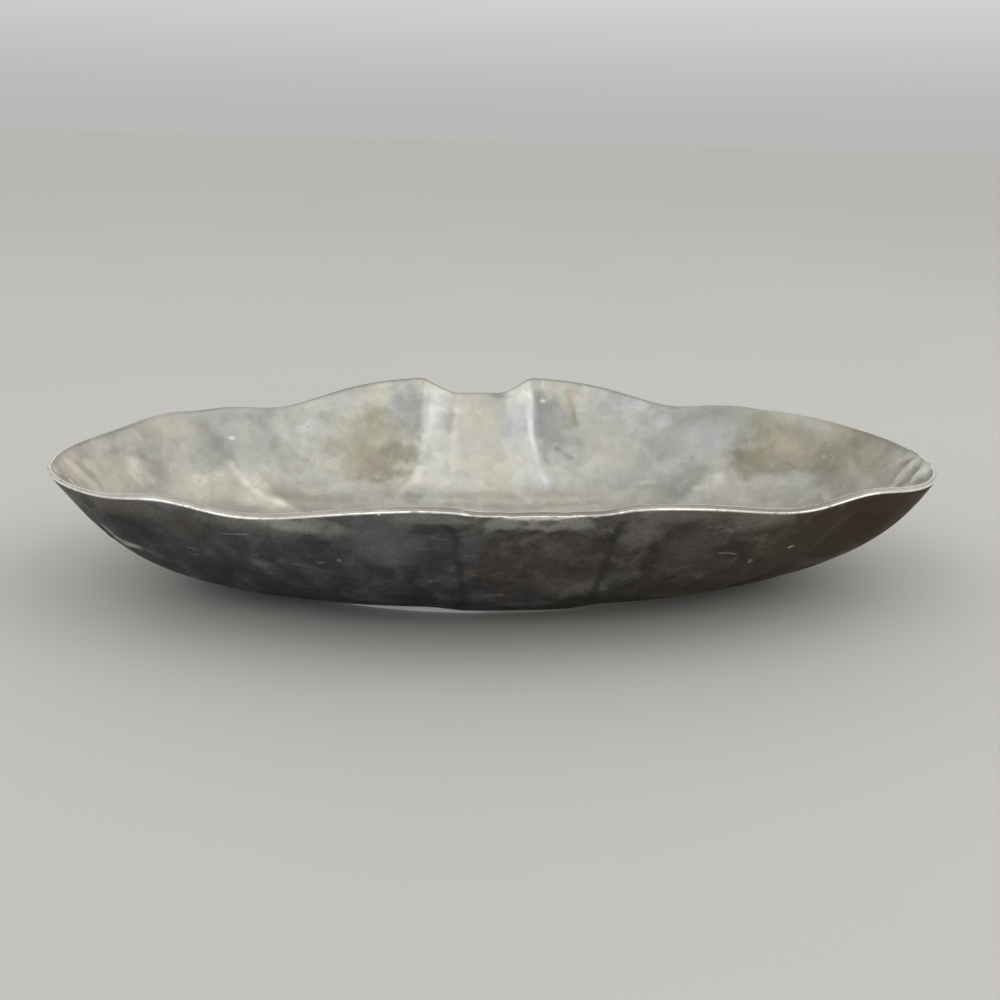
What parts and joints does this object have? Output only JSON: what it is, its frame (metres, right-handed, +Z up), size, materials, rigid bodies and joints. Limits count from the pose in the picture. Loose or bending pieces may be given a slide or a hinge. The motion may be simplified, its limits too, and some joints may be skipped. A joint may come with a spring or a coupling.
{
  "type": "serving platter",
  "caption": "Shallow oval serving platter with a lobed rim, a narrow panel pressed into the middle of each long side and a low oval foot ring.",
  "frame": {"origin": "centre of the bounding box's bottom, on the table plane below the middle of the platter", "axes": "+Z up from the table, +X along the platter, +Y across it, away from the viewer of the picture"},
  "size_m": [0.3592, 0.2208, 0.0626],
  "materials": {
    "pewter_dish": "worn satin pewter, pale and cloudy inside, dark patina outside, bright on the rim's edges",
    "pewter_foot": "satin pewter, rubbed lighter where it touches the table",
    "solder": "dull grey solder"
  },
  "bodies": {
    "root": {"dish": "pewter_dish", "foot_ring": "pewter_foot", "foot_solder": "solder"}
  },
  "joints": []
}
